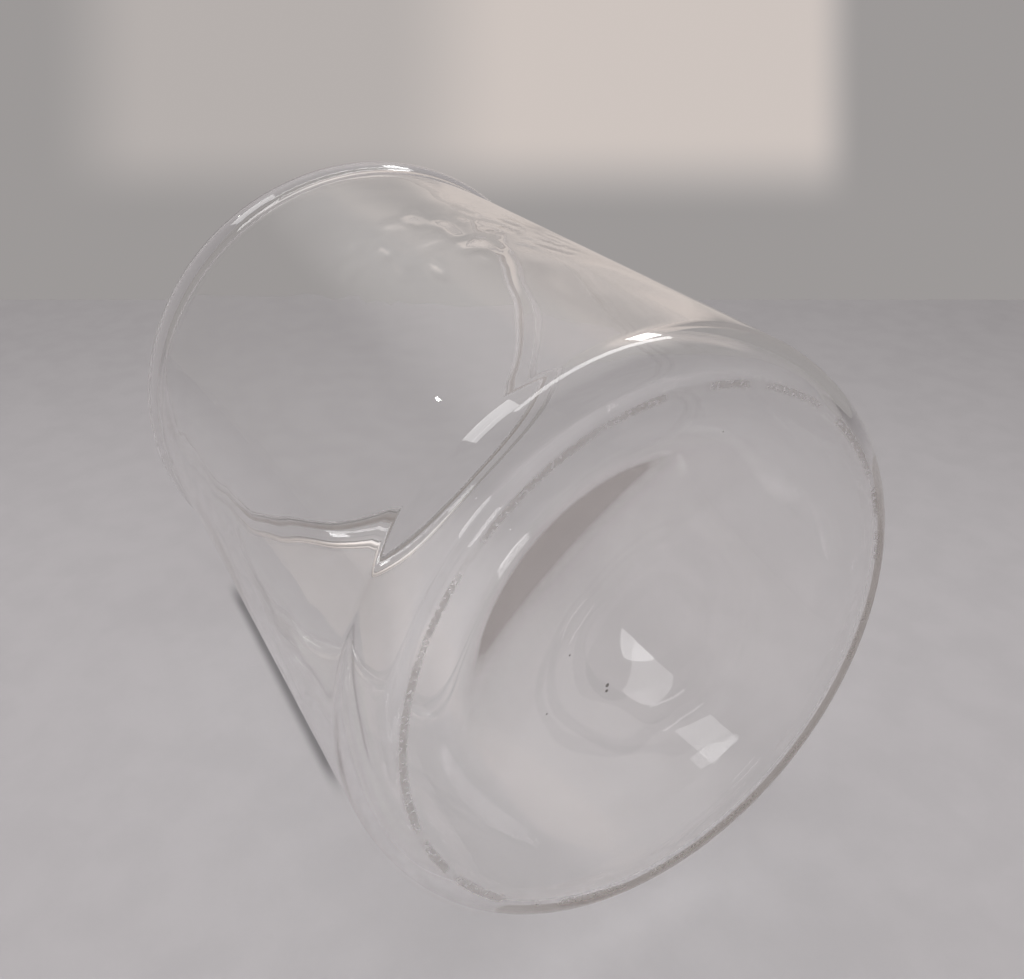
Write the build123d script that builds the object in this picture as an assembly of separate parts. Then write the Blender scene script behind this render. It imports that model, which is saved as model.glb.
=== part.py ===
from build123d import *
from math import atan, degrees
import os

# A gas jar moulded from clear glass in one piece, standing on its base.
# Millimetres, +Z up along the jar's axis, origin on the axis in the plane that it stands on.

# Body
outside_diameter = 100.0
height = 124.0
wall = 2.4

# Base: a narrow ring carries the jar, and the glass inside the ring is pushed up off the bench
push_up = 3.0
bearing_width = 1.2

# Inside floor: it swells up to the axis and leaves a gutter along the wall
gutter_level = 3.0
floor_rise = 6.0
inside_corner = 12.0

# Heel: the rounded foot of the wall, thick where it turns into the base
heel_rise = 9.8
heel_inset = 5.6

# Rim: a rolled bead that stands out all round and narrows the mouth, ground flat on top for a cover plate
bead_height = 8.0
bead_bulge = 1.4
mouth_swell = 2.2
mouth_depth = 9.0
mouth_edge = 0.8

outside_radius = outside_diameter / 2
inside_radius = outside_radius - wall
mouth_radius = inside_radius - mouth_swell
bearing_outer_radius = outside_radius - heel_inset
bearing_inner_radius = bearing_outer_radius - bearing_width
floor_level = gutter_level + floor_rise
corner_radius = inside_radius - inside_corner
floor_slope = 2 * degrees(atan(floor_rise / corner_radius))


def round_arc(centre, radius, start_angle, sweep):
    """A circle's arc, drawn as an ellipse with equal radii, which turns into a surface of few facets."""
    return EllipticalCenterArc(centre, radius, radius, start_angle=start_angle, arc_size=sweep)


def underside():
    """From the axis over the push-up and the bearing ring, and round the heel to the wall."""
    dome = TangentArc((0, push_up), (bearing_inner_radius, 0), tangent=(1, 0))
    Line(dome @ 1, (bearing_outer_radius, 0))
    EllipticalCenterArc(
        (bearing_outer_radius, heel_rise), heel_inset, heel_rise, start_angle=-90, arc_size=90)


def rim():
    """Up the round of the bead, over the ground top and down the swell inside the mouth."""
    half_height = bead_height / 2
    bead_turn = 2 * degrees(atan(bead_bulge / half_height))
    bead_radius = (half_height**2 + bead_bulge**2) / (2 * bead_bulge)
    bead_centre = (outside_radius + bead_bulge - bead_radius, height - half_height)
    round_arc(bead_centre, bead_radius, -bead_turn, 2 * bead_turn)
    Polyline(
        (outside_radius, height), (mouth_radius + mouth_edge, height), (mouth_radius, height - mouth_edge))
    TangentArc((inside_radius, height - mouth_depth), (mouth_radius, height - mouth_edge), tangent=(0, 1))


def inside():
    """Down the wall, round the corner into the gutter and up the domed floor to the axis."""
    corner_turn = 90 + floor_slope
    corner = round_arc(
        (corner_radius, gutter_level + inside_corner), inside_corner, -corner_turn, corner_turn)
    Line((inside_radius, height - mouth_depth), corner @ 1)
    TangentArc((0, floor_level), corner @ 0, tangent=(1, 0))


def jar_section():
    """Half the jar's section, right of the axis."""
    with BuildSketch(Plane.XZ) as section:
        with BuildLine():
            underside()
            Line((outside_radius, heel_rise), (outside_radius, height - bead_height))
            rim()
            inside()
            Line((0, floor_level), (0, push_up))
        make_face()
    return section.sketch


def make_jar():
    """The whole jar, turned from its section."""
    jar = revolve(jar_section(), Axis.Z)
    jar.label = "jar"
    return jar


os.makedirs("parts", exist_ok=True)
export_step(make_jar(), "parts/jar.step")
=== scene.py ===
"""A clear glass gas jar: its moulded form, its glass, and a plain studio to look at it in.

The jar stands on its base at the origin, +Z up. The studio's floor lies along the jar's side and its camera
is turned with it, so that the picture shows the jar lying down with its base towards the viewer.
"""
import math

import bmesh
import bpy
from mathutils import Matrix, Vector, noise


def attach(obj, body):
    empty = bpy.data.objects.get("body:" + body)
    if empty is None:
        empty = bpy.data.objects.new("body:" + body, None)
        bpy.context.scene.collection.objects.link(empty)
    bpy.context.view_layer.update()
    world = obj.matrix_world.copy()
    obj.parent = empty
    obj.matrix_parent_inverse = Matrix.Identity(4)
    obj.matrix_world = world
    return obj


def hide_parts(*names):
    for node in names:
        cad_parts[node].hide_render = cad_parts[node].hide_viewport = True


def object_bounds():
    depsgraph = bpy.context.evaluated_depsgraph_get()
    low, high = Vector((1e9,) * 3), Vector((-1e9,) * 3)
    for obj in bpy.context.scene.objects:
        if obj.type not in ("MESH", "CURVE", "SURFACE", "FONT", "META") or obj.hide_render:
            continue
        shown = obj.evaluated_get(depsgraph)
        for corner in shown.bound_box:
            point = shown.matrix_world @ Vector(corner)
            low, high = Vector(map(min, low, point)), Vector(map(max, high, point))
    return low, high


bl_info = {
    "name": "Gas jar",
    "version": (1, 0, 0),
    "blender": (4, 5, 0),
    "location": "3D View > Sidebar > Gas jar",
    "description": "Makes a clear glass gas jar and a plain studio round it",
    "category": "Mesh",
}

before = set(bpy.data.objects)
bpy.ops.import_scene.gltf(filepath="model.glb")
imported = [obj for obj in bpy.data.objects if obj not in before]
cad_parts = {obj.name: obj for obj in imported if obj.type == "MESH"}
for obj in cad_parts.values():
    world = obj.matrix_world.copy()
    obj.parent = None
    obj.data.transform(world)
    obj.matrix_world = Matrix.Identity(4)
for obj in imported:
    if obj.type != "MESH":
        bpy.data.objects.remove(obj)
cad_low, cad_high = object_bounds()
JAR_NODE = "jar"
MM = 0.001

# The turned mesh: its columns round the axis, and how far its edges and the bead's root are rounded
COLUMNS = 320
CORNER_ROUND = 0.12 * MM
ROOT_ROUND = 1.2 * MM

# Where the faint ripples lie on the wall: they fade in and out between these angles and levels
RIPPLE_ANGLES = (55, 70, 102, 114)
RIPPLE_LEVELS = (44 * MM, 54 * MM, 76 * MM, 84 * MM)

# Spots of dirt on the base: place and radius in millimetres
BASE_SPOTS = (
    ((9.2, -4.0, 2.8), 0.42),
    ((9.3, -5.0, 2.8), 0.34),
    ((16.3, 4.6, 2.5), 0.2),
    ((20.2, -4.1, 2.3), 0.2),
)

# Light that has turned this often inside the glass is taken as evened out to one grey
TRAPPED_DEPTH = 14.5
TRAPPED = (0.42, 0.4, 0.4, 1)
GLASS_BOUNCES = 18

# Sockets of the Mix node that blends colours
MIX_SHARE, MIX_FIRST, MIX_SECOND, MIX_COLOUR = 0, 6, 7, 2

# The paper's painted light and shade: the share of its colour that the painted shade leaves far away, the
# share left where the painted pool of light under the jar doesn't reach, that pool's middle, and the painted
# shade beside the wall
FAR_SHARE = 0.8
PLAIN_SHARE = 0.87
UNDER_JAR = Vector((-25, -51, 62)) * MM
SIDE_SHADE = 36.6 * MM
SIDE_SHADE_MIDDLE = 86 * MM

# The camera: its place and axes, and the picture's focal length and optical centre in pixels
CAMERA_PLACE = Vector((84.37, 105.31, -99.98)) * MM
CAMERA_RIGHT = Vector((-0.8686, 0, -0.4954))
CAMERA_DOWN = Vector((0.1734, -0.9367, -0.3041))
CAMERA_FORWARD = CAMERA_RIGHT.cross(CAMERA_DOWN)
PICTURE_WIDTH = 1024
PICTURE_MIDDLE = 512
FOCAL_PIXELS = 1041.2
OPTICAL_CENTRE_ABOVE_MIDDLE = 190
OPTICAL_CENTRE_ROW = 299.5
FLOOR_DEPTH = 419 * MM
FLOOR_HALF_DEPTH = 700 * MM

# Edges of the window's glow behind the jar, in pixels: left of the step it is dimmer than right of it
GLOW_LEFT, GLOW_STEP, GLOW_RIGHT, GLOW_LOW = 95, 450, 835, 175
GLOW_BROAD, GLOW_STRONG = 0.13, 0.15

# The broad lamp over the floor
FILL_HEIGHT = 0.42
FILL_SIDE = 0.5
FILL_POWER = 0.95

# The other lamps: azimuth and elevation in degrees, width and height in metres, and power in watts
LAMP_AIM = Vector((0, 0, 60)) * MM
LAMP_DISTANCE = 0.9
LAMPS = (
    ("window_side", 30, 49.6, 0.26, 0.26, 0.85),
    ("window_pane", 24.5, 42.4, 0.2, 0.022, 0.035),
    ("far_lamp", 21, 34.2, 0.008, 0.006, 0.013),
    ("window_back", -45, 43, 0.12, 0.12, 0.5),
    ("ceiling_strip", -24, 61.5, 0.9, 0.07, 1.1),
)
SEEN_THROUGH_GLASS = "window_pane"


def length(name, description, metres):
    """A length that the sidebar can change."""
    return bpy.props.FloatProperty(name=name, description=description, default=metres, unit="LENGTH")


def colour(name, description, value):
    """A colour that the sidebar can change."""
    return bpy.props.FloatVectorProperty(
        name=name, description=description, default=value, subtype="COLOR", size=4, min=0, max=1)


class JarForm(bpy.types.PropertyGroup):
    """Sizes of the jar"""
    height: length("Height", "From the bench to the rim", cad_high.z - cad_low.z)
    wall_radius: length("Wall radius", "Radius of the wall outside", 50 * MM)
    wall: length("Wall", "Thickness of the wall", 2.4 * MM)
    bead_bulge: length("Bead bulge", "How far the rim stands out from the wall", 1.4 * MM)
    bead_height: length("Bead height", "Height of the rolled rim", 8 * MM)
    mouth_swell: length("Mouth swell", "How far the rim stands in from the wall", 2.2 * MM)
    mouth_depth: length("Mouth depth", "Depth of the narrower mouth", 9 * MM)
    mouth_edge: length("Mouth edge", "Width of the bevel round the mouth", 0.8 * MM)
    gutter_level: length("Gutter level", "Lowest level of the floor inside", 3 * MM)
    floor_rise: length("Floor rise", "How far the floor swells up to the axis", 7.5 * MM)
    corner_rise: length("Corner rise", "Height of the corner inside", 6.8 * MM)
    corner_inset: length("Corner inset", "Width of the corner inside", 3.2 * MM)
    groove: length("Groove", "Radius from the gutter up into the swell of the floor", 36 * MM)
    push_up: length("Push-up", "Rise of the underside on the axis", 3 * MM)
    bearing_width: length("Bearing width", "Width of the ring that the jar stands on", 1.2 * MM)
    heel_rise: length("Heel rise", "Height of the rounded heel", 9.8 * MM)
    heel_inset: length("Heel inset", "How far the bearing ring lies inside the wall", 5.6 * MM)
    waviness: length("Waviness", "Depth of the broad waves on the inside of the wall", 0.2 * MM)


class JarLook(bpy.types.PropertyGroup):
    """Colours of the glass and of the paper that it lies on"""
    clean_glass: colour("Clean glass", "What clean glass lets through at its surface", (1, 1, 1, 1))
    scuffed_glass: colour("Scuffed glass", "What rubbed glass lets through", (0.66, 0.63, 0.61, 1))
    dirt: colour("Dirt", "What a spot of dirt lets through", (0.1, 0.09, 0.08, 1))
    tint: colour("Tint", "Colour that the glass takes on where it is deep", (0.62, 0.56, 0.52, 1))
    tint_density: bpy.props.FloatProperty(
        name="Tint density", description="How soon the tint shows", default=12.0, min=0)
    paper: colour("Paper", "Colour of the paper", (0.54, 0.522, 0.536, 1))


def arc(centre, radii, start, end, steps):
    """Points on an ellipse's arc in the (radius, level) plane, angles in degrees from straight outwards."""
    points = []
    for i in range(steps + 1):
        angle = math.radians(start + (end - start) * i / steps)
        points.append((centre[0] + radii[0] * math.cos(angle), centre[1] + radii[1] * math.sin(angle)))
    return points


def line(start, end, spacing):
    """Evenly spaced points from start to end."""
    steps = max(1, round(math.dist(start, end) / spacing))
    return [(start[0] + (end[0] - start[0]) * i / steps, start[1] + (end[1] - start[1]) * i / steps)
            for i in range(steps + 1)]


def rounded(before, corner, after, reach, steps):
    """Points that round a corner off, starting and ending at the given reach from it."""
    corner = Vector(corner)
    back = corner + (Vector(before) - corner).normalized() * reach
    on = corner + (Vector(after) - corner).normalized() * reach
    points = []
    for i in range(steps + 1):
        t = i / steps
        points.append(tuple((1 - t) ** 2 * back + 2 * t * (1 - t) * corner + t * t * on))
    return points


def rim_outline(form):
    """The rim from the wall outside over bead, flat top and bevel, and then the swell inside the mouth."""
    outer = form.wall_radius
    inner = outer - form.wall
    mouth = inner - form.mouth_swell
    half = form.bead_height / 2
    turn = 2 * math.degrees(math.atan(form.bead_bulge / half))
    radius = (half ** 2 + form.bead_bulge ** 2) / (2 * form.bead_bulge)
    bead = arc((outer + form.bead_bulge - radius, form.height - half), (radius, radius), -turn, turn, 22)
    fall = form.mouth_depth - form.mouth_edge
    bow = (form.mouth_swell ** 2 + fall ** 2) / (2 * form.mouth_swell)
    slack = math.degrees(math.asin(fall / bow))
    swell = arc((inner - bow, form.height - form.mouth_depth), (bow, bow), slack, 0, 18)
    edge_top = (mouth + form.mouth_edge, form.height)
    points = rounded((outer, 0), bead[0], bead[2], ROOT_ROUND, 6) + bead[4:-1]
    points += rounded(bead[-2], bead[-1], edge_top, CORNER_ROUND, 3)
    points += line(bead[-1], edge_top, 0.7 * MM)[1:-1]
    points += rounded(bead[-1], edge_top, swell[0], CORNER_ROUND, 3)
    points += rounded(edge_top, swell[0], swell[1], CORNER_ROUND, 3)
    return points, swell[1:]


def outside_outline(form):
    """From the axis over the push-up, the bearing ring and the heel, and up the wall."""
    bearing_outer = form.wall_radius - form.heel_inset
    bearing_inner = bearing_outer - form.bearing_width
    dome = (bearing_inner ** 2 + form.push_up ** 2) / (2 * form.push_up)
    dome_angle = math.degrees(math.asin(bearing_inner / dome))
    points = arc((0, form.push_up - dome), (dome, dome), 90, 90 - dome_angle, 32)
    points += line((bearing_inner, 0), (bearing_outer, 0), 0.3 * MM)
    points += arc((bearing_outer, form.heel_rise), (form.heel_inset, form.heel_rise), -90, 0, 28)
    return points


def floor_outline(form):
    """Round the corner inside, through the gutter and up the swell of the floor to the axis."""
    gutter_radius = form.wall_radius - form.wall - form.corner_inset
    slope = 2 * math.degrees(math.atan(form.floor_rise / gutter_radius))
    corner_radii = (form.corner_inset, form.corner_rise)
    corner = arc((gutter_radius, form.gutter_level + form.corner_rise), corner_radii, 0, -90, 24)
    groove_centre = (gutter_radius, form.gutter_level + form.groove)
    groove = arc(groove_centre, (form.groove, form.groove), -90, -90 - slope, 20)
    ball = groove[-1][0] / math.sin(math.radians(slope))
    swell = arc((0, form.gutter_level + form.floor_rise - ball), (ball, ball), 90 - slope, 90, 32)
    return corner + groove + swell


def jar_outline(form):
    """The jar's section from the axis on the underside, round the outside, to the axis on the inside floor.

    Also the number of the first point that lies inside the jar."""
    rim, mouth = rim_outline(form)
    floor = floor_outline(form)
    points = outside_outline(form) + line((form.wall_radius, form.heel_rise), rim[0], 2 * MM) + rim
    inside_from = len(points)
    points += mouth + line(mouth[-1], floor[0], 2 * MM) + floor
    clean = []
    for number, point in enumerate(points):
        if number == inside_from:
            inside_from = len(clean)
        if not clean or math.dist(point, clean[-1]) > 0.02 * MM:
            clean.append(point)
    return clean, inside_from


def outward(outline, number):
    """The direction out of the glass at a point of the outline, as (radius, level)."""
    before = Vector(outline[max(number - 1, 0)])
    after = Vector(outline[min(number + 1, len(outline) - 1)])
    run = (after - before).normalized()
    return Vector((run.y, -run.x))


def fade(value, start, end):
    """0 before start, 1 after end, smooth between them."""
    share = min(1, max(0, (value - start) / (end - start)))
    return share * share * (3 - 2 * share)


def between(value, limits):
    """1 between the two inner limits, 0 outside the two outer ones, smooth between them."""
    return fade(value, limits[0], limits[1]) * fade(-value, -limits[3], -limits[2])


def lumps(place, size, seed):
    """Smooth lumps about zero, of about the given size."""
    return noise.noise(place / size + Vector((seed, 2.5 * seed, 0)))


def inside_wave(place, form):
    """The slack waves on the inside of the wall, calm towards the base and gone on the floor."""
    along = Vector((place.x, place.y, place.z * 0.45))
    off_floor = fade(math.hypot(place.x, place.y), 36 * MM, 46 * MM)
    depth = form.waviness * (0.08 + 0.92 * fade(place.z, 2 * MM, 16 * MM)) * off_floor
    return depth * (lumps(along, 26 * MM, 3) + 0.45 * lumps(along, 10 * MM, 7))


def outside_wave(place, form):
    """The faint waves of the moulded outside, with a patch of ripples on the wall."""
    along = Vector((place.x, place.y, place.z * 0.45))
    wave = 0.25 * form.waviness * (lumps(along, 30 * MM, 11) + 0.3 * lumps(place, 8 * MM, 5))
    angle = math.degrees(math.atan2(place.y, place.x))
    patch = between(angle, RIPPLE_ANGLES) * between(place.z, RIPPLE_LEVELS)
    crests = max(0, lumps(Vector((place.x * 1.6, place.y, place.z)), 4.2 * MM, 21) - 0.12)
    return fade(place.z, 2 * MM, 16 * MM) * (wave + 0.4 * MM * crests * patch)


def placed(name, data):
    """A new object with the given data, placed in the scene."""
    made = bpy.data.objects.new(name, data)
    bpy.context.scene.collection.objects.link(made)
    return made


def turned_jar(name, outline, inside_from, form):
    """A closed mesh turned about the Z axis from the outline, with the waves of moulded glass."""
    mesh = bmesh.new()
    first = mesh.verts.new((0, 0, outline[0][1]))
    last = mesh.verts.new((0, 0, outline[-1][1]))
    rings = []
    for number in range(1, len(outline) - 1):
        radius, level = outline[number]
        out = outward(outline, number)
        wave_at = inside_wave if number >= inside_from else outside_wave
        clear_of_rim = fade(form.height - level, 2 * MM, 12 * MM)
        ring = []
        for i in range(COLUMNS):
            turn = 2 * math.pi * i / COLUMNS
            spoke = Vector((math.cos(turn), math.sin(turn), 0))
            place = spoke * radius + Vector((0, 0, level))
            wave = clear_of_rim * wave_at(place, form)
            ring.append(mesh.verts.new(place + (spoke * out.x + Vector((0, 0, out.y))) * wave))
        rings.append(ring)
    for i in range(COLUMNS):
        j = (i + 1) % COLUMNS
        mesh.faces.new((first, rings[0][j], rings[0][i]))
        for below, above in zip(rings, rings[1:]):
            mesh.faces.new((below[i], below[j], above[j], above[i]))
        mesh.faces.new((last, rings[-1][i], rings[-1][j]))
    data = bpy.data.meshes.new(name)
    mesh.normal_update()
    mesh.to_mesh(data)
    mesh.free()
    data.shade_smooth()
    return placed(name, data)


def feed(tree, value, socket):
    """Links an output to a socket, or sets the socket to a plain value."""
    if isinstance(value, bpy.types.NodeSocket):
        tree.links.new(value, socket)
    else:
        socket.default_value = value


def math_node(tree, operation, *values):
    """A Math node whose inputs are outputs of other nodes or numbers; gives its output."""
    made = tree.nodes.new("ShaderNodeMath")
    made.operation = operation
    for value, socket in zip(values, made.inputs):
        feed(tree, value, socket)
    return made.outputs[0]


def ramp_node(tree, value, start, end, low=0.0, high=1.0):
    """A smooth change from low to high while value goes from start to end."""
    made = tree.nodes.new("ShaderNodeMapRange")
    made.interpolation_type = "SMOOTHSTEP"
    tree.links.new(value, made.inputs["Value"])
    for name, number in (("From Min", start), ("From Max", end), ("To Min", low), ("To Max", high)):
        made.inputs[name].default_value = number
    return made.outputs[0]


def noise_node(tree, vector, size, detail=2.0):
    """Noise between 0 and 1 with lumps of the given size in metres."""
    made = tree.nodes.new("ShaderNodeTexNoise")
    made.inputs["Scale"].default_value = 1 / size
    made.inputs["Detail"].default_value = detail
    tree.links.new(vector, made.inputs["Vector"])
    return made.outputs["Fac"]


def vector_measure(tree, operation, vector, fixed):
    """The distance of a vector from a fixed one, or how far it points along it, as the operation says."""
    made = tree.nodes.new("ShaderNodeVectorMath")
    made.operation = operation
    made.inputs[1].default_value = fixed
    tree.links.new(vector, made.inputs[0])
    return made.outputs["Value"]


def blend_node(tree, share, first, second):
    """The first colour where share is 0 and the second where it is 1."""
    made = tree.nodes.new("ShaderNodeMix")
    made.data_type = "RGBA"
    feed(tree, share, made.inputs[MIX_SHARE])
    feed(tree, first, made.inputs[MIX_FIRST])
    feed(tree, second, made.inputs[MIX_SECOND])
    return made.outputs[MIX_COLOUR]


def show_mix(tree, share, first, second):
    """Gives a material's surface a mix of two shaders."""
    mix = tree.nodes.new("ShaderNodeMixShader")
    for output, socket in zip((share, first, second), mix.inputs):
        tree.links.new(output, socket)
    tree.links.new(mix.outputs[0], tree.nodes["Material Output"].inputs["Surface"])


def speck_group():
    """Tiny round specks, few and far apart: a mask that is 1 on a speck."""
    group = bpy.data.node_groups.new("specks", "ShaderNodeTree")
    group.interface.new_socket(name="Vector", in_out="INPUT", socket_type="NodeSocketVector")
    for name in ("Spacing", "Size", "Share"):
        group.interface.new_socket(name=name, in_out="INPUT", socket_type="NodeSocketFloat")
    group.interface.new_socket(name="Mask", in_out="OUTPUT", socket_type="NodeSocketFloat")
    given = group.nodes.new("NodeGroupInput")
    result = group.nodes.new("NodeGroupOutput")
    cells = group.nodes.new("ShaderNodeTexVoronoi")
    group.links.new(given.outputs["Vector"], cells.inputs["Vector"])
    group.links.new(math_node(group, "DIVIDE", 1.0, given.outputs["Spacing"]), cells.inputs["Scale"])
    reach = math_node(group, "MULTIPLY", cells.outputs["Distance"], given.outputs["Spacing"])
    near = math_node(group, "LESS_THAN", reach, given.outputs["Size"])
    split = group.nodes.new("ShaderNodeSeparateColor")
    group.links.new(cells.outputs["Color"], split.inputs["Color"])
    chosen = math_node(group, "LESS_THAN", split.outputs[0], given.outputs["Share"])
    group.links.new(math_node(group, "MULTIPLY", near, chosen), result.inputs["Mask"])
    return group


def specks(tree, vector, spacing, size, share):
    """The specks group placed in a material; gives its mask."""
    made = tree.nodes.new("ShaderNodeGroup")
    made.node_tree = bpy.data.node_groups.get("specks") or speck_group()
    tree.links.new(vector, made.inputs["Vector"])
    for name, number in (("Spacing", spacing), ("Size", size), ("Share", share)):
        made.inputs[name].default_value = number
    return made.outputs["Mask"]


def split_node(tree, vector):
    """The X, Y and Z of a vector."""
    made = tree.nodes.new("ShaderNodeSeparateXYZ")
    tree.links.new(vector, made.inputs[0])
    return made.outputs


def bearing_scuffs(tree, place, form):
    """The worn, broken band where the jar has stood on benches: 1 where the glass is rubbed dull."""
    x, y, level = split_node(tree, place)
    square = math_node(tree, "ADD", math_node(tree, "POWER", x, 2.0), math_node(tree, "POWER", y, 2.0))
    middle = form.wall_radius - form.heel_inset - form.bearing_width * 0.45
    off = math_node(tree, "ABSOLUTE", math_node(tree, "SUBTRACT", math_node(tree, "SQRT", square), middle))
    near = ramp_node(tree, off, 0.3 * MM, 0.85 * MM, 1.0, 0.0)
    low = ramp_node(tree, level, 0.3 * MM, 0.8 * MM, 1.0, 0.0)
    broken = ramp_node(tree, noise_node(tree, place, 8 * MM, 2.0), 0.36, 0.58, 0.2, 1.0)
    grain = ramp_node(tree, noise_node(tree, place, 0.6 * MM, 1.0), 0.3, 0.52, 0.3, 1.0)
    band = math_node(tree, "MULTIPLY", near, low)
    return math_node(tree, "MULTIPLY", band, math_node(tree, "MULTIPLY", broken, grain))


def hair_scratches(tree, place):
    """A few long, thin curved scratches: the level lines of a slow noise, broken up along their length."""
    slow = noise_node(tree, place, 45 * MM, 0.0)
    off = math_node(tree, "ABSOLUTE", math_node(tree, "SUBTRACT", slow, 0.5))
    thin = ramp_node(tree, off, 0.0, 0.0025, 1.0, 0.0)
    parts = ramp_node(tree, noise_node(tree, place, 14 * MM, 2.0), 0.48, 0.62)
    return math_node(tree, "MULTIPLY", thin, parts)


def base_spots(tree, place):
    """The few dark spots of dirt that stick to the base, each at its own place: 1 on a spot."""
    mask = 0.0
    for spot, reach in BASE_SPOTS:
        away = vector_measure(tree, "DISTANCE", place, Vector(spot) * MM)
        on = ramp_node(tree, away, 0.6 * reach * MM, reach * MM, 1.0, 0.0)
        mask = math_node(tree, "MAXIMUM", on, mask)
    return mask


def glass_material(form, look):
    """Clear glass, faintly brown where it is deep, rubbed on the bearing ring, with specks and scratches."""
    material = bpy.data.materials.new("jar_glass")
    material.use_nodes = True
    tree = material.node_tree
    shader = tree.nodes["Principled BSDF"]
    shader.inputs["IOR"].default_value = 1.5
    shader.inputs["Transmission Weight"].default_value = 1.0
    place = tree.nodes.new("ShaderNodeTexCoord").outputs["Object"]
    scuffs = bearing_scuffs(tree, place, form)
    dust = specks(tree, place, 11 * MM, 0.16 * MM, 0.16)
    scratches = math_node(tree, "MULTIPLY", hair_scratches(tree, place), 0.06)
    rubbed = math_node(tree, "MULTIPLY", scuffs, 0.55)
    dusty = math_node(tree, "MULTIPLY", dust, 0.8)
    dull = math_node(tree, "MAXIMUM", math_node(tree, "MAXIMUM", rubbed, dusty), scratches)
    tree.links.new(dull, shader.inputs["Roughness"])
    marks = math_node(tree, "MAXIMUM", scuffs, dust)
    worn = blend_node(tree, marks, look.clean_glass, look.scuffed_glass)
    tree.links.new(blend_node(tree, base_spots(tree, place), worn, look.dirt), shader.inputs["Base Color"])
    tint = tree.nodes.new("ShaderNodeVolumeAbsorption")
    tint.inputs["Color"].default_value = look.tint
    tint.inputs["Density"].default_value = look.tint_density
    tree.links.new(tint.outputs[0], tree.nodes["Material Output"].inputs["Volume"])
    # Painted light: where a ray has turned more than TRAPPED_DEPTH times inside the glass, the glass glows
    # in the flat grey TRAPPED instead
    trapped_glow = tree.nodes.new("ShaderNodeEmission")
    trapped_glow.inputs["Color"].default_value = TRAPPED
    turns = tree.nodes.new("ShaderNodeLightPath").outputs["Ray Depth"]
    trapped = math_node(tree, "GREATER_THAN", turns, TRAPPED_DEPTH)
    show_mix(tree, trapped, shader.outputs[0], trapped_glow.outputs[0])
    return material


class JAR_OT_body(bpy.types.Operator):
    """Make the glass jar"""
    bl_idname = "jar.body"
    bl_label = "Make the jar"

    def execute(self, context):
        form = context.scene.jar_form
        outline, inside_from = jar_outline(form)
        jar = turned_jar("gas_jar", outline, inside_from, form)
        jar.data.materials.append(glass_material(form, context.scene.jar_look))
        jar.visible_shadow = False
        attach(jar, "root")
        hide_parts(JAR_NODE)
        return {"FINISHED"}


def side_shade(tree, place):
    """What the thin shade on the paper beside the jar's wall leaves of the light: 1 clear of it."""
    x, _, along = split_node(tree, place)
    beside = math_node(tree, "ABSOLUTE", math_node(tree, "SUBTRACT", x, SIDE_SHADE))
    off_middle = math_node(tree, "ABSOLUTE", math_node(tree, "SUBTRACT", along, SIDE_SHADE_MIDDLE))
    ends = ramp_node(tree, off_middle, 28 * MM, 40 * MM, 1.0, 0.0)
    band = math_node(tree, "MULTIPLY", ends, ramp_node(tree, beside, 0.3 * MM, 2.6 * MM, 0.55, 0.0))
    return math_node(tree, "SUBTRACT", 1.0, band)


def paper_material(look, away, near):
    """Matt pale paper with a soft grain, painted shade that dulls it far away, and painted light where the
    glass gathers light.

    It is clear from behind, so that it never hides the jar."""
    material = bpy.data.materials.new("studio_paper")
    material.use_nodes = True
    tree = material.node_tree
    shader = tree.nodes["Principled BSDF"]
    shader.inputs["Roughness"].default_value = 0.9
    shader.inputs["Specular IOR Level"].default_value = 0.1
    place = tree.nodes.new("ShaderNodeTexCoord").outputs["Object"]
    grain = ramp_node(tree, noise_node(tree, place, 9 * MM, 4.0), 0.3, 0.7, 0.96, 1.0)
    lint = math_node(tree, "MULTIPLY", specks(tree, place, 17 * MM, 0.22 * MM, 0.3), 0.15)
    depth = vector_measure(tree, "DOT_PRODUCT", place, away)
    from_gathered = vector_measure(tree, "DISTANCE", place, UNDER_JAR)
    shade = math_node(tree, "SUBTRACT", grain, lint)
    # Painted shade far away, a painted pool of light round the jar's footprint, and the painted thin shade
    # beside the wall
    for part in (ramp_node(tree, depth, near, near + 240 * MM, 1.0, FAR_SHARE),
                 ramp_node(tree, from_gathered, 20 * MM, 75 * MM, 1.0, PLAIN_SHARE),
                 side_shade(tree, place)):
        shade = math_node(tree, "MULTIPLY", shade, part)
    tree.links.new(blend_node(tree, shade, (0, 0, 0, 1), look.paper), shader.inputs["Base Color"])
    clear = tree.nodes.new("ShaderNodeBsdfTransparent")
    behind = tree.nodes.new("ShaderNodeNewGeometry").outputs["Backfacing"]
    show_mix(tree, behind, shader.outputs[0], clear.outputs[0])
    return material


def plane(name, centre, across, along, material):
    """A rectangle round centre, spanned by two half-side vectors, facing their cross product."""
    mesh = bpy.data.meshes.new(name)
    corners = [centre + across * x + along * y for x, y in ((-1, -1), (1, -1), (1, 1), (-1, 1))]
    mesh.from_pydata([tuple(corner) for corner in corners], [], [(0, 1, 2, 3)])
    mesh.materials.append(material)
    piece = placed(name, mesh)
    return piece


def area_light(name, direction, distance, size, power, aim):
    """A rectangular lamp at a direction and distance from aim, facing it."""
    data = bpy.data.lights.new(name, "AREA")
    data.shape = "RECTANGLE"
    data.size, data.size_y = size
    data.energy = power
    lamp = placed(name, data)
    lamp.location = aim + direction.normalized() * distance
    lamp.rotation_mode = "QUATERNION"
    lamp.rotation_quaternion = (aim - lamp.location).to_track_quat("-Z", "Y")
    lamp.visible_camera = False
    return lamp


def sky_direction(azimuth, elevation):
    """Direction towards a lamp: azimuth from +Z towards +X, elevation towards +Y, in degrees."""
    a, e = math.radians(azimuth), math.radians(elevation)
    return Vector((math.sin(a) * math.cos(e), math.sin(e), math.cos(a) * math.cos(e)))


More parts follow.
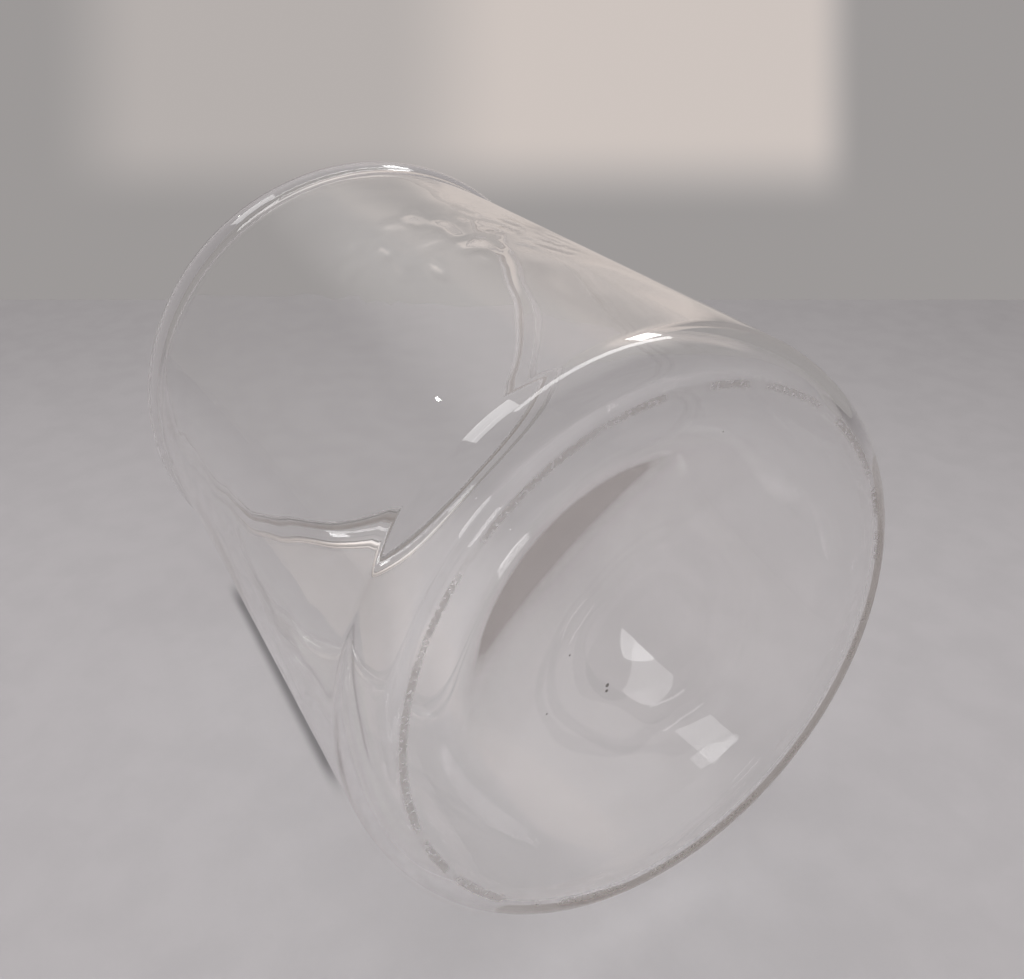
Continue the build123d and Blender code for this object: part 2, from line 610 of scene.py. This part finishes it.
def make_lamps(floor_middle):
    """A broad lamp straight over the floor, and the window, strip and small lamps that the glass mirrors."""
    fill = area_light("overhead_fill", Vector((0, 1, 0)), FILL_HEIGHT, (FILL_SIDE, FILL_SIDE), FILL_POWER,
                      floor_middle)
    fill.visible_glossy = False
    fill.visible_transmission = False
    for name, azimuth, elevation, width, height, power in LAMPS:
        direction = sky_direction(azimuth, elevation)
        lamp = area_light(name, direction, LAMP_DISTANCE, (width, height), power, LAMP_AIM)
        lamp.visible_transmission = name == SEEN_THROUGH_GLASS


def glow_edge(tree, across, pixel, middle, softness, rising):
    """A soft edge of the window's glow at a pixel of the picture: 1 on its bright side and 0 past it."""
    start = (pixel - softness - middle) / FOCAL_PIXELS
    end = (pixel + softness - middle) / FOCAL_PIXELS
    low, high = (0.0, 1.0) if rising else (1.0, 0.0)
    return ramp_node(tree, across, start, end, low, high)


def window_glow(tree, place):
    """The window's glow on the far side, brighter on the right of a soft step."""
    ahead = vector_measure(tree, "DOT_PRODUCT", place, CAMERA_FORWARD)
    column = math_node(tree, "DIVIDE", vector_measure(tree, "DOT_PRODUCT", place, CAMERA_RIGHT), ahead)
    row = math_node(tree, "DIVIDE", vector_measure(tree, "DOT_PRODUCT", place, CAMERA_DOWN), ahead)
    low = glow_edge(tree, row, GLOW_LOW, OPTICAL_CENTRE_ROW, 42, False)
    right = glow_edge(tree, column, GLOW_RIGHT, PICTURE_MIDDLE, 28, False)
    left = glow_edge(tree, column, GLOW_LEFT, PICTURE_MIDDLE, 60, True)
    step = glow_edge(tree, column, GLOW_STEP, PICTURE_MIDDLE, 70, True)
    strength = math_node(tree, "ADD", math_node(tree, "MULTIPLY", left, GLOW_BROAD),
                         math_node(tree, "MULTIPLY", step, GLOW_STRONG))
    glow = math_node(tree, "MULTIPLY", math_node(tree, "MULTIPLY", low, right), strength)
    return math_node(tree, "MULTIPLY", glow, ramp_node(tree, ahead, 0.3, 0.5))


def make_world():
    """Pale air round the studio: dimmer behind the viewer, brighter overhead, with a window's glow."""
    world = bpy.data.worlds.new("studio_air")
    bpy.context.scene.world = world
    world.use_nodes = True
    tree = world.node_tree
    background = tree.nodes["Background"]
    place = tree.nodes.new("ShaderNodeTexCoord").outputs["Generated"]
    glow = window_glow(tree, place)
    viewer = vector_measure(tree, "DOT_PRODUCT", place, Vector((0.25, 0.2, -0.95)).normalized())
    ceiling = vector_measure(tree, "DOT_PRODUCT", place, sky_direction(-15, 52))
    air = ramp_node(tree, viewer, 0.25, 0.85, 0.335, 0.2)
    overhead = ramp_node(tree, ceiling, 0.80, 0.98, 0.0, 0.7)
    total = math_node(tree, "ADD", math_node(tree, "ADD", air, overhead), glow)
    tree.links.new(total, background.inputs["Strength"])
    warm_share = math_node(tree, "MULTIPLY", glow, 2.0)
    warmth = blend_node(tree, warm_share, (1, 0.95, 0.935, 1), (1, 0.86, 0.77, 1))
    tree.links.new(warmth, background.inputs["Color"])


def make_camera():
    """The camera that sees the jar from the side of its base."""
    data = bpy.data.cameras.new("camera")
    data.lens = data.sensor_width * FOCAL_PIXELS / PICTURE_WIDTH
    data.shift_y = -OPTICAL_CENTRE_ABOVE_MIDDLE / PICTURE_WIDTH
    data.clip_start = 10 * MM
    camera = placed("camera", data)
    turn = Matrix((CAMERA_RIGHT, -CAMERA_DOWN, -CAMERA_FORWARD)).transposed()
    camera.matrix_world = Matrix.Translation(CAMERA_PLACE) @ turn.to_4x4()
    bpy.context.scene.camera = camera


class JAR_OT_studio(bpy.types.Operator):
    """Make the floor, lamps and camera"""
    bl_idname = "jar.studio"
    bl_label = "Make the studio"

    def execute(self, context):
        away = Vector((-CAMERA_RIGHT.z, 0, CAMERA_RIGHT.x)).normalized() * -1
        below_camera = Vector((CAMERA_PLACE.x, cad_low.x, CAMERA_PLACE.z))
        paper = paper_material(context.scene.jar_look, away, below_camera.dot(away) + 170 * MM)
        floor_middle = below_camera + away * (FLOOR_DEPTH - FLOOR_HALF_DEPTH)
        plane("studio_floor", floor_middle, away * FLOOR_HALF_DEPTH, -CAMERA_RIGHT, paper)
        make_lamps(below_camera + away * 100 * MM)
        make_world()
        make_camera()
        context.scene.view_settings.view_transform = "Standard"
        cycles = context.scene.cycles
        cycles.max_bounces = GLASS_BOUNCES
        cycles.transmission_bounces = GLASS_BOUNCES
        cycles.glossy_bounces = GLASS_BOUNCES
        cycles.diffuse_bounces = 1
        return {"FINISHED"}


class JAR_PT_panel(bpy.types.Panel):
    """Lists the steps that make the jar and its studio"""
    bl_label = "Gas jar"
    bl_space_type = "VIEW_3D"
    bl_region_type = "UI"
    bl_category = "Gas jar"

    def draw(self, context):
        self.layout.operator(JAR_OT_body.bl_idname)
        self.layout.operator(JAR_OT_studio.bl_idname)


CLASSES = (JarForm, JarLook, JAR_OT_body, JAR_OT_studio, JAR_PT_panel)


def register():
    for cls in CLASSES:
        bpy.utils.register_class(cls)
    bpy.types.Scene.jar_form = bpy.props.PointerProperty(type=JarForm)
    bpy.types.Scene.jar_look = bpy.props.PointerProperty(type=JarLook)


def unregister():
    del bpy.types.Scene.jar_look
    del bpy.types.Scene.jar_form
    for cls in reversed(CLASSES):
        bpy.utils.unregister_class(cls)


def main():
    register()
    bpy.ops.jar.body()
    bpy.ops.jar.studio()


if __name__ == "__main__":
    main()
